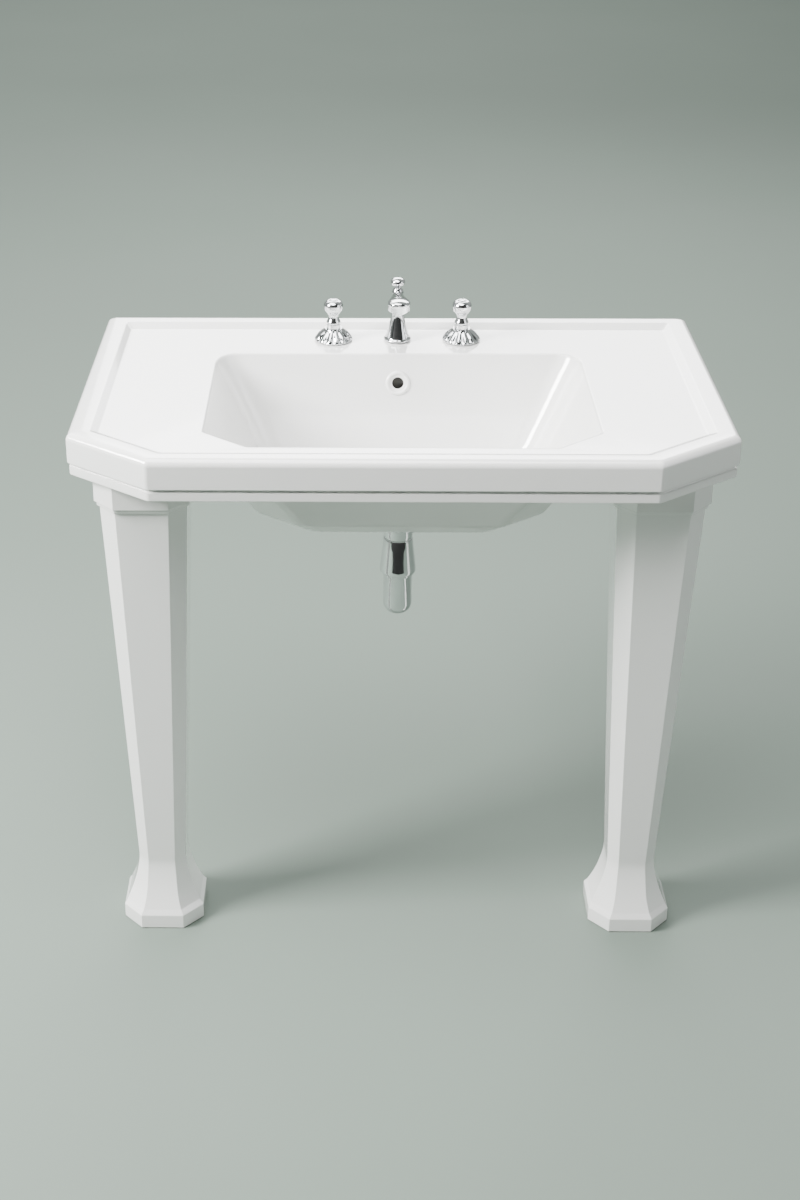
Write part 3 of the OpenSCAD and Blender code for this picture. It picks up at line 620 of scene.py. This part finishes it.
moulded_grain, takes, gives = start_group(
    "moulded grain", [("Body", "NodeSocketColor", (0.5, 0.5, 0.5, 1)),
                      ("Rubbed", "NodeSocketColor", (0.6, 0.6, 0.6, 1)),
                      ("Fineness", "NodeSocketFloat", 900.0)],
    [("Colour", "NodeSocketColor"), ("Roughness", "NodeSocketFloat"),
     ("Height", "NodeSocketFloat")])
nodes, links = moulded_grain.nodes, moulded_grain.links
place = add_node(nodes, "ShaderNodeTexCoord")
grain = add_node(nodes, "ShaderNodeTexNoise")
set_inputs(grain, Detail=2.0)
bloom = add_node(nodes, "ShaderNodeTexNoise")
set_inputs(bloom, Scale=35.0, Detail=3.0)
tone = add_node(nodes, "ShaderNodeMix", data_type="RGBA")
dull = add_node(nodes, "ShaderNodeMapRange")
set_inputs(dull, To_Min=0.42, To_Max=0.72)
for source, target in (
        (place.outputs["Object"], grain.inputs["Vector"]),
        (place.outputs["Object"], bloom.inputs["Vector"]),
        (takes.outputs["Fineness"], grain.inputs["Scale"]),
        (takes.outputs["Body"], tone.inputs[6]), (takes.outputs["Rubbed"], tone.inputs[7]),
        (bloom.outputs["Fac"], tone.inputs[0]), (tone.outputs[2], gives.inputs["Colour"]),
        (bloom.outputs["Fac"], dull.inputs["Value"]), (dull.outputs[0], gives.inputs["Roughness"]),
        (grain.outputs["Fac"], gives.inputs["Height"])):
    links.new(source, target)


def moulded(name, body, rubbed, fineness, sheen=0.0):
    finish, nodes, links, shader = new_finish(name, body, 0.6)
    shader.inputs["Sheen Weight"].default_value = sheen
    skin = add_node(nodes, "ShaderNodeGroup", node_tree=moulded_grain)
    set_inputs(skin, Body=body, Rubbed=rubbed, Fineness=fineness)
    swell = add_node(nodes, "ShaderNodeBump")
    set_inputs(swell, Strength=0.25, Distance=0.0004)
    links.new(skin.outputs["Colour"], shader.inputs["Base Color"])
    links.new(skin.outputs["Roughness"], shader.inputs["Roughness"])
    links.new(skin.outputs["Height"], swell.inputs["Height"])
    links.new(swell.outputs[0], shader.inputs["Normal"])
    return finish


# Fine marks from polishing cloths and spanners, and a little dulling in broad patches.
handled_metal, takes, gives = start_group(
    "handled metal", [("Metal", "NodeSocketColor", (0.7, 0.7, 0.7, 1)),
                      ("Dulled", "NodeSocketColor", (0.5, 0.5, 0.5, 1)),
                      ("Bright", "NodeSocketFloat", 0.05), ("Matt", "NodeSocketFloat", 0.12)],
    [("Colour", "NodeSocketColor"), ("Roughness", "NodeSocketFloat"),
     ("Height", "NodeSocketFloat")])
nodes, links = handled_metal.nodes, handled_metal.links
place = add_node(nodes, "ShaderNodeTexCoord")
patches = add_node(nodes, "ShaderNodeTexNoise")
set_inputs(patches, Scale=55.0, Detail=4.0, Roughness=0.6)
stretch = add_node(nodes, "ShaderNodeMapping")
stretch.inputs["Scale"].default_value = (260.0, 260.0, 1800.0)
marks = add_node(nodes, "ShaderNodeTexNoise")
set_inputs(marks, Scale=1.0, Detail=3.0)
tone = add_node(nodes, "ShaderNodeMix", data_type="RGBA")
dull = add_node(nodes, "ShaderNodeMapRange")
for source, target in (
        (place.outputs["Object"], patches.inputs["Vector"]),
        (place.outputs["Object"], stretch.inputs["Vector"]),
        (stretch.outputs[0], marks.inputs["Vector"]),
        (takes.outputs["Metal"], tone.inputs[6]), (takes.outputs["Dulled"], tone.inputs[7]),
        (patches.outputs["Fac"], tone.inputs[0]), (tone.outputs[2], gives.inputs["Colour"]),
        (takes.outputs["Bright"], dull.inputs["To Min"]),
        (takes.outputs["Matt"], dull.inputs["To Max"]),
        (patches.outputs["Fac"], dull.inputs["Value"]),
        (dull.outputs[0], gives.inputs["Roughness"]),
        (marks.outputs["Fac"], gives.inputs["Height"])):
    links.new(source, target)


def metal(name, colour, dulled, bright, matt, marking):
    finish, nodes, links, shader = new_finish(name, colour, bright, 1.0)
    wear = add_node(nodes, "ShaderNodeGroup", node_tree=handled_metal)
    set_inputs(wear, Metal=colour, Dulled=dulled, Bright=bright, Matt=matt)
    swell = add_node(nodes, "ShaderNodeBump")
    set_inputs(swell, Strength=marking, Distance=0.0003)
    links.new(wear.outputs["Colour"], shader.inputs["Base Color"])
    links.new(wear.outputs["Roughness"], shader.inputs["Roughness"])
    links.new(wear.outputs["Height"], swell.inputs["Height"])
    links.new(swell.outputs[0], shader.inputs["Normal"])
    return finish


def finish_nodes(finish, *names):
    for name in names:
        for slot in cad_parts[name].material_slots:
            slot.material = finish


black_rubber = moulded("black rubber", (0.018, 0.018, 0.018, 1), (0.045, 0.045, 0.043, 1),
                       1400.0, 0.2)
pale_nylon = moulded("natural nylon", (0.72, 0.71, 0.66, 1), (0.79, 0.78, 0.74, 1), 700.0)
stainless = metal("stainless steel", (0.56, 0.57, 0.58, 1), (0.44, 0.44, 0.44, 1),
                  0.20, 0.36, 0.20)
finish_nodes(black_rubber, "leg_pads")
finish_nodes(pale_nylon, "leg_dowels", "wall_sleeves")
finish_nodes(stainless, "wall_studs", "wall_washers", "wall_nuts")


# ---- Overflow rim -------------------------------------------------------------------
# A separate glazed ring, stuck on round the overflow hole in the bowl's leaning back wall,
# with a broad rounded lip and a second step down to the hole.


def turned(name, profile, place, tilt=0.0, count=72, solid=True):
    """A turned piece from (radius, height) pairs in millimetres, its axis tilted back."""
    bpy.ops.object.select_all(action="DESELECT")
    bpy.ops.mesh.primitive_circle_add(vertices=count, radius=profile[0][0] / 1000,
                                      location=(0, 0, 0), fill_type="NGON" if solid else "NOTHING")
    piece = bpy.context.object
    piece.name = name
    bpy.ops.object.mode_set(mode="EDIT")
    bpy.ops.mesh.select_all(action="SELECT")
    bpy.ops.transform.translate(value=(0, 0, profile[0][1] / 1000))
    for (near, low), (far, high) in zip(profile, profile[1:]):
        rise = (0, 0, (high - low) / 1000)
        bpy.ops.mesh.extrude_edges_move(TRANSFORM_OT_translate={"value": rise})
        bpy.ops.transform.resize(value=(far / near, far / near, 1), center_override=(0, 0, 0))
    if solid:
        bpy.ops.mesh.edge_face_add()
    bpy.ops.mesh.select_all(action="SELECT")
    bpy.ops.mesh.remove_doubles(threshold=0.00001)
    bpy.ops.mesh.normals_make_consistent(inside=False)
    bpy.ops.object.mode_set(mode="OBJECT")
    piece.rotation_euler = (tilt, 0, 0)
    piece.location = place
    bpy.ops.object.transform_apply(location=True, rotation=True, scale=True)
    bpy.ops.object.shade_smooth_by_angle(angle=math.radians(40))
    return piece


def join_pieces(first, *others):
    bpy.ops.object.select_all(action="DESELECT")
    for piece in (*others, first):
        piece.select_set(True)
    bpy.context.view_layer.objects.active = first
    bpy.ops.object.join()
    return first


def fit(piece, body, slot, finish, *nodes):
    piece.data.materials.clear()
    piece.data.materials.append(finish)
    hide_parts(*nodes)
    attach(piece, body)


rim = turned("overflow_rim", [(8.9, -10), (8.9, -0.5), (9.2, 0.4), (9.9, 0.9), (12.2, 1.0),
                              (12.9, 1.2), (13.4, 1.9), (14.0, 2.7), (15.0, 3.2), (16.4, 3.1),
                              (17.8, 2.3), (18.8, 1.2), (19.2, 0.2), (19.3, -0.8), (18.0, -1.2),
                              (12.0, -1.6), (10.2, -10), (8.9, -10)],
             hole_place, math.radians(90) - back_lean, solid=False)
fit(rim, "washbasin", "ceramic", white_glaze, "overflow_ring")


# ---- Spout --------------------------------------------------------------------------
# A cast brass spout, chrome plated: a bell foot and slim column, a broad arm that rises
# towards the bowl, a short nozzle with its aerator, and a boss that guides the lift rod.

chrome_tone = (0.76, 0.77, 0.78, 1)
brass_tone = (0.66, 0.47, 0.20, 1)
tarnish_tone = (0.42, 0.29, 0.13, 1)
chrome_plate = metal("chrome plate", chrome_tone, (0.66, 0.67, 0.68, 1), 0.035, 0.085, 0.015)
bare_brass = metal("bare brass", brass_tone, tarnish_tone, 0.22, 0.42, 0.25)

skirt_lo, skirt_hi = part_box("hot_skirt")
gasket_top = skirt_lo.z
tap_y = (skirt_lo.y + skirt_hi.y) / 2
rod_lo, rod_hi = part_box("lift_rod")
rod_y = (rod_lo.y + rod_hi.y) / 2
housing_lo, housing_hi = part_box("aerator_housing")
nozzle_y = (housing_lo.y + housing_hi.y) / 2
outlet_z = housing_lo.z + 0.003

column = turned("spout_casting",
                [(20.4, 0), (21.0, 0.5), (21.2, 1.4), (21.0, 2.4), (20.1, 3.3), (18.9, 4.2),
                 (18.2, 5.6), (17.6, 7.6), (16.6, 11), (15.3, 15.5), (13.8, 21), (12.3, 27.5),
                 (10.9, 34), (9.8, 40.5), (9.1, 47), (8.8, 54), (8.7, 72)], (0, tap_y, gasket_top))
boss = turned("rod_boss", [(6.0, 0), (6.0, 66), (7.6, 69), (8.9, 72), (9.0, 74), (8.2, 76.4),
                           (6.6, 79), (5.4, 81), (4.2, 81.8), (3.0, 82)],
              (0, rod_y - 0.001, gasket_top), count=48)
nozzle = turned("nozzle", [(12.3, 9), (12.3, 0.9), (12.7, 0.3), (13.4, 0), (15.4, 0), (16.2, 0.3),
                           (16.5, 1.0), (16.6, 10), (12.3, 10), (12.3, 9)],
                (0, nozzle_y, outlet_z), solid=False)
# Sections of the arm, in millimetres: way forward from the rod, half width, height over
# the outlet and half height.
arm_sections = [(-7.0, 1.0, -9.5, 1.4), (-6.2, 3.6, -9.5, 3.5), (-3.6, 6.0, -9.4, 5.5),
                (0, 7.3, -9.0, 6.4), (14, 8.8, -6.4, 6.7), (30, 10.4, -3.3, 6.9),
                (50, 12.5, 1.0, 7.0), (70, 14.8, 5.6, 7.1), (84, 16.3, 8.9, 7.1),
                (94, 17.1, 10.7, 7.1), (101, 16.9, 11.1, 6.9), (106, 15.5, 11.1, 6.5),
                (110, 12.6, 11.1, 5.7), (112.6, 8.8, 11.1, 4.4), (113.8, 4.6, 11.1, 2.6),
                (114.0, 1.6, 11.1, 1.0)]
bpy.ops.object.select_all(action="DESELECT")
bpy.ops.mesh.primitive_circle_add(vertices=48, radius=0.001, location=(0, 0, 0), fill_type="NGON",
                                  rotation=(math.radians(90), 0, 0))
arm = bpy.context.object
bpy.ops.object.transform_apply(location=True, rotation=True, scale=True)
bpy.ops.object.mode_set(mode="EDIT")
bpy.ops.mesh.select_all(action="SELECT")
way, wide, rise, tall = arm_sections[0]
bpy.ops.transform.resize(value=(wide, 1, tall), center_override=(0, 0, 0))
bpy.ops.transform.translate(value=(0, rod_y - 0.001 - way / 1000, outlet_z + rise / 1000))
for next_way, next_wide, next_rise, next_tall in arm_sections[1:]:
    step = Vector((0, (way - next_way) / 1000, (next_rise - rise) / 1000))
    bpy.ops.mesh.extrude_edges_move(TRANSFORM_OT_translate={"value": step})
    middle = (0, rod_y - 0.001 - next_way / 1000, outlet_z + next_rise / 1000)
    bpy.ops.transform.resize(value=(next_wide / wide, 1, next_tall / tall), center_override=middle)
    way, wide, rise, tall = next_way, next_wide, next_rise, next_tall
bpy.ops.mesh.edge_face_add()
bpy.ops.mesh.select_all(action="SELECT")
bpy.ops.mesh.normals_make_consistent(inside=False)
bpy.ops.object.mode_set(mode="OBJECT")
rounded = arm.modifiers.new("rounded arm", "SUBSURF")
rounded.levels = rounded.render_levels = 1
bpy.ops.object.modifier_apply(modifier="rounded arm")
bpy.ops.object.shade_smooth_by_angle(angle=math.radians(50))
nut_lo, nut_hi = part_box("spout_nut")
shank = turned("threaded_shank", [(5.2, 0), (7.6, 0), (8.0, 0.6), (8.0, 44), (5.2, 44), (5.2, 0)],
               (0, (nut_lo.y + nut_hi.y) / 2, nut_lo.z - 0.0155), count=48, solid=False)
spout = join_pieces(column, boss, nozzle, arm, shank)
fit(spout, "washbasin", "chrome", chrome_plate, "spout_body")
finish_nodes(chrome_plate, "aerator_housing")
finish_nodes(pale_nylon, "aerator_insert")
finish_nodes(black_rubber, "spout_gasket")
finish_nodes(bare_brass, "spout_washer", "spout_nut", "mixing_tee")


# ---- Side valves --------------------------------------------------------------------
# Each valve's pleated skirt is spun brass pressed over fourteen flutes. The ball handle is
# turned, screwed to the spindle, and closed by a domed button.

flutes = 14
skirt_centre = (skirt_lo.x + skirt_hi.x) / 2
hot_skirt = turned("hot_pleated_skirt",
                   [(11.2, 0), (29.0, 0), (29.4, 0.5), (29.5, 1.5), (29.1, 2.9), (28.0, 4.7),
                    (26.4, 6.7), (24.3, 8.9), (21.9, 11.0), (19.4, 12.9), (17.0, 14.6),
                    (15.2, 16.2), (14.1, 17.6), (13.5, 18.4), (11.2, 18.5), (11.2, 0)],
                   (0, 0, 0), count=flutes * 8, solid=False)
bpy.ops.object.mode_set(mode="EDIT")
for step, squeeze in ((1, 0.985), (2, 0.945), (3, 0.895), (4, 0.872)):
    for low, high, share in ((0.0021, 0.0042, 0.65), (0.0042, 0.0120, 1.0), (0.0120, 0.0155, 0.75),
                             (0.0155, 0.0170, 0.3)):
        def in_flute(p, ring):
            turn = math.degrees(math.atan2(p.y, p.x)) % (360 / flutes) * flutes * 8 / 360
            off_crest = min(round(turn) % 8, 8 - round(turn) % 8)
            return off_crest == step and low < p.z <= high and math.hypot(p.x, p.y) > 0.0125
        pick("VERT", in_flute)
        grow = 1 - (1 - squeeze) * share
        bpy.ops.transform.resize(value=(grow, grow, 1), center_override=(0, 0, 0))
bpy.ops.object.mode_set(mode="OBJECT")
hot_skirt.location = (skirt_centre, tap_y, gasket_top)
bpy.ops.object.transform_apply(location=True, rotation=True, scale=True)
bpy.ops.object.shade_smooth_by_angle(angle=math.radians(55))

handle_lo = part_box("hot_handle")[0]
hot_handle = turned("hot_ball_handle",
                    [(4.3, 0), (10.1, 0), (10.8, 0.5), (11.1, 1.6), (11.0, 3.2), (10.3, 4.8),
                     (9.6, 5.6), (9.5, 6.3), (8.7, 7.3), (7.8, 9.4), (7.4, 12), (7.8, 14.3),
                     (9.0, 16.5), (11.0, 18.9), (13.0, 21.9), (14.4, 25.4), (15.0, 29),
                     (14.7, 31.8), (13.5, 34.4), (11.5, 36.5), (9.4, 37.6), (7.8, 38.0),
                     (6.9, 37.8), (6.4, 37.0), (6.2, 35.9), (4.3, 35.9), (4.3, 0)],
                    (skirt_centre, tap_y, handle_lo.z), solid=False)
for piece, name, body, node in ((hot_skirt, "cold_pleated_skirt", "washbasin", "skirt"),
                                (hot_handle, "cold_ball_handle", "cold_handle", "handle")):
    twin = piece.copy()
    twin.data = piece.data.copy()
    twin.name = name
    bpy.context.scene.collection.objects.link(twin)
    twin.data.transform(Matrix.Translation((-2 * skirt_centre, 0, 0)))
    fit(twin, body, "chrome", chrome_plate, "cold_" + node)
fit(hot_skirt, "washbasin", "chrome", chrome_plate, "hot_skirt")
fit(hot_handle, "hot_handle", "chrome", chrome_plate, "hot_handle")
finish_nodes(chrome_plate, "hot_index", "cold_index")
finish_nodes(stainless, "hot_screw", "cold_screw")
finish_nodes(bare_brass, "hot_spindle", "cold_spindle", "valve_washers", "valve_nuts", "link_nuts")

# The valve bodies are bare brass below the deck and plated where they show above it.
plated_valve = metal("half plated brass", brass_tone, tarnish_tone, 0.06, 0.20, 0.05)
nodes, links = plated_valve.node_tree.nodes, plated_valve.node_tree.links
place = add_node(nodes, "ShaderNodeTexCoord")
axes = add_node(nodes, "ShaderNodeSeparateXYZ")
above_deck = add_node(nodes, "ShaderNodeMath", operation="GREATER_THAN")
above_deck.inputs[1].default_value = deck_z
plating = add_node(nodes, "ShaderNodeMix", data_type="RGBA")
plating.inputs[7].default_value = chrome_tone
wear = next(n for n in nodes if n.type == "GROUP")
links.new(place.outputs["Object"], axes.inputs[0])
links.new(axes.outputs["Z"], above_deck.inputs[0])
links.new(above_deck.outputs[0], plating.inputs[0])
links.new(wear.outputs["Colour"], plating.inputs[6])
links.new(plating.outputs[2], nodes["Principled BSDF"].inputs["Base Color"])
finish_nodes(plated_valve, "hot_valve", "cold_valve")
finish_nodes(pale_nylon, "hot_cartridge", "cold_cartridge")
finish_nodes(black_rubber, "valve_gaskets")
drawn_copper = metal("drawn copper", (0.72, 0.36, 0.22, 1), (0.46, 0.22, 0.14, 1),
                     0.18, 0.34, 0.15)
finish_nodes(drawn_copper, "hot_link_tube", "cold_link_tube")


# ---- Pop-up linkage -----------------------------------------------------------------
# A turned knob on a thin chromed rod. A pierced steel strap, clamped on the rod under the
# deck, lifts the end of the ball rod that raises the plug.

knob_lo, knob_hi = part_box("lift_knob")
knob = turned("lift_finial", [(4.6, 0), (5.0, 0.3), (5.4, 1.0), (7.4, 1.7), (9.4, 2.9),
                              (10.8, 4.6), (11.4, 6.6), (11.2, 8.5), (10.3, 10.3), (8.7, 11.9),
                              (6.6, 13.1), (4.2, 13.8), (1.5, 14.0)],
              (0, (knob_lo.y + knob_hi.y) / 2, knob_lo.z))
fit(knob, "lift_rod", "chrome", chrome_plate, "lift_knob")
finish_nodes(chrome_plate, "lift_rod", "pivot_nut")
finish_nodes(stainless, "lift_strap", "strap_screw", "pivot_rod")


# ---- Waste and plug -----------------------------------------------------------------
# A chromed flange seated in the drain on a black seal, the slotted body below it with its
# gasket and big nut, and a domed plug on a stem with an eye for the ball rod.

flange_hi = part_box("waste_flange")[1]
flange = turned("waste_rim", [(17.6, -29), (17.6, 1.6), (18.2, 2.2), (24.6, 2.5), (25.8, 2.8),
                              (26.6, 3.5), (27.6, 3.9), (29.2, 4.0), (30.8, 3.6), (31.8, 2.7),
                              (32.0, 1.8), (31.6, 1.1), (22.0, 1.0), (20.0, 0.4), (20.0, -29.6),
                              (17.9, -29.8), (17.6, -29)],
                (*drain, flange_hi.z - 0.004), solid=False)
fit(flange, "washbasin", "chrome", chrome_plate, "waste_flange")
plug_lo, plug_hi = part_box("plug")
dome = turned("plug_dome", [(3.6, -60.3), (4.0, -59.7), (4.0, -5.4), (5.2, -4.7), (22.8, -4.5),
                            (23.7, -4.1), (24.0, -3.4), (23.7, -2.6), (22.6, -1.9), (19.6, -1.2),
                            (15.0, -0.6), (9.0, -0.15), (2.0, 0.0)], (*drain, plug_hi.z))
bpy.ops.object.select_all(action="DESELECT")
bpy.ops.mesh.primitive_plane_add(size=1, location=(drain[0], drain[1] - 0.001, 0),
                                 rotation=(math.radians(90), 0, 0))
eye_plate = bpy.context.object
eye_plate.scale = (0.012, 0.022, 1)
eye_plate.location.z = plug_lo.z + 0.011
bpy.ops.object.transform_apply(location=True, rotation=True, scale=True)
bpy.ops.object.mode_set(mode="EDIT")
bpy.ops.mesh.select_all(action="SELECT")
bpy.ops.mesh.bevel(offset=0.003, segments=3, affect="VERTICES")
bpy.ops.mesh.inset(thickness=0.0021, use_even_offset=True)
bpy.ops.mesh.delete(type="FACE")
bpy.ops.object.mode_set(mode="OBJECT")
plate = eye_plate.modifiers.new("plate thickness", "SOLIDIFY")
plate.thickness = 0.002
plate.offset = 1
bpy.ops.object.modifier_apply(modifier="plate thickness")
fit(join_pieces(dome, eye_plate), "plug", "chrome", chrome_plate, "plug")
finish_nodes(chrome_plate, "waste_body", "waste_nut")
finish_nodes(black_rubber, "waste_seal", "waste_gasket", "plug_seal")


# ---- Bottle trap --------------------------------------------------------------------
# A chromed bottle trap: a tapered body with its side outlet, a screwed-on cup with a
# rounded bottom, the tail pipe above, and the outlet pipe to the rosette on the wall.

collar_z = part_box("trap_body")[0].z
cone = turned("trap_cone", [(22.2, 0.4), (23.0, 0), (24.6, 0.3), (26.4, 1.4), (27.3, 2.6),
                            (27.5, 4.0), (27.4, 7.6), (27.2, 9.2), (25.6, 24), (23.6, 42),
                            (22.0, 56.2), (21.5, 58.2), (20.4, 59.4), (18.6, 59.9), (16.2, 60)],
              (*drain, collar_z), count=96)
pipe_lo, pipe_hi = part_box("trap_outlet_nut")
pipe_z = (pipe_lo.z + pipe_hi.z) / 2
side_arm = turned("side_arm", [(18.2, 0), (18.9, 0.6), (19.0, 1.6), (19.0, 43.6), (16.2, 44)],
                  (drain[0], drain[1], pipe_z), math.radians(-90))
fit(join_pieces(cone, side_arm), "washbasin", "chrome", chrome_plate, "trap_body")
cup_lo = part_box("trap_cup")[0]
cup = turned("trap_bottle", [(2.0, 0), (6.0, 0.15), (10.0, 0.8), (13.6, 2.3), (16.8, 4.7),
                             (19.3, 7.8), (21.0, 11.4), (21.8, 15.2), (22.0, 19), (22.0, 66),
                             (22.6, 67.2), (24.2, 68.0), (24.4, 69.0), (24.4, 75), (19.5, 75)],
             (*drain, cup_lo.z), count=96)
fit(cup, "washbasin", "chrome", chrome_plate, "trap_cup")
rosette_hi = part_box("wall_rosette")[1]
rosette = turned("wall_flange", [(16.1, 0), (32.4, 0), (33.0, 0.5), (33.0, 1.4), (32.2, 2.6),
                                 (29.6, 4.6), (25.8, 6.6), (22.4, 8.4), (20.2, 10.2),
                                 (19.0, 11.8), (18.4, 12.7), (17.6, 13.0), (16.1, 13.0),
                                 (16.1, 0)],
                 (0, rosette_hi.y, pipe_z), math.radians(90), solid=False)
fit(rosette, "washbasin", "chrome", chrome_plate, "wall_rosette")
finish_nodes(chrome_plate, "tail_pipe", "trap_inlet_nut", "trap_outlet_nut", "outlet_pipe")
finish_nodes(black_rubber, "trap_cup_seal")
